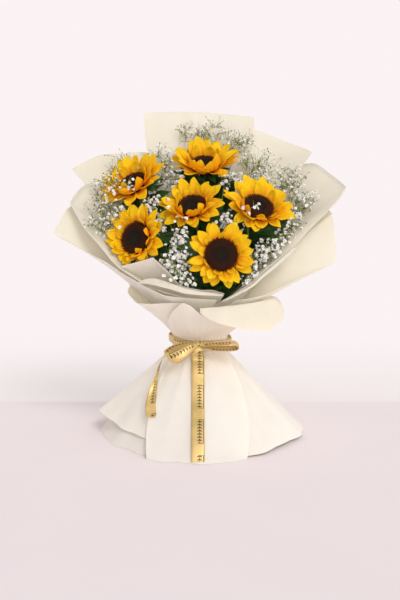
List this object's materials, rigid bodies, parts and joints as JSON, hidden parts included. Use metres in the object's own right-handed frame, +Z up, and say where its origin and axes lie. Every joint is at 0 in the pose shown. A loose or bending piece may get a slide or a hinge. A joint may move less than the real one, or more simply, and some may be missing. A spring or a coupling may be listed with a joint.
{
  "type": "bouquet",
  "caption": "Hand-tied bouquet of sunflowers and gypsophila in a flared paper wrap, tied with a satin ribbon and bow, standing on its cut stems and the wrap's skirt.",
  "frame": {"origin": "on the floor, in the middle of the object's footprint box, straight under the tie where all the stems cross", "axes": "+Z up along the bundle of stems, -Y the front, where the bow hangs and the faces of the blooms look, +X to the right as seen from the front"},
  "size_m": [0.4796, 0.3523, 0.5383],
  "materials": {
    "ivory_paper": "matt florist's sheet",
    "gold_ribbon": "satin",
    "twine": "rough",
    "gypsophila": "matt",
    "petals": "soft matt",
    "disc": "rough",
    "green": "matt"
  },
  "bodies": {
    "root": {"gypsophila_back_left": "gypsophila", "gypsophila_back_right": "gypsophila", "gypsophila_centre": "gypsophila", "gypsophila_centre_left": "gypsophila", "gypsophila_front_left": "gypsophila", "gypsophila_front_right": "gypsophila", "gypsophila_left": "gypsophila", "gypsophila_right": "gypsophila", "gypsophila_right_low": "gypsophila", "gypsophila_upper_left": "gypsophila", "paper_back_centre": "ivory_paper", "paper_back_left": "ivory_paper", "paper_back_right": "ivory_paper", "paper_collar_left": "ivory_paper", "paper_collar_right": "ivory_paper", "paper_front_inner": "ivory_paper", "paper_front_panel": "ivory_paper", "paper_outer_left": "ivory_paper", "paper_outer_right": "ivory_paper", "paper_side_left": "ivory_paper", "paper_side_right": "ivory_paper", "ribbon_band": "gold_ribbon", "ribbon_bow": "gold_ribbon", "stem_twine": "twine", "sunflower_centre_disc": "disc", "sunflower_centre_petals": "petals", "sunflower_centre_stem": "green", "sunflower_front_disc": "disc", "sunflower_front_petals": "petals", "sunflower_front_stem": "green", "sunflower_lower_left_disc": "disc", "sunflower_lower_left_petals": "petals", "sunflower_lower_left_stem": "green", "sunflower_right_disc": "disc", "sunflower_right_petals": "petals", "sunflower_right_stem": "green", "sunflower_top_disc": "disc", "sunflower_top_petals": "petals", "sunflower_top_stem": "green", "sunflower_upper_left_disc": "disc", "sunflower_upper_left_petals": "petals", "sunflower_upper_left_stem": "green"}
  },
  "joints": []
}
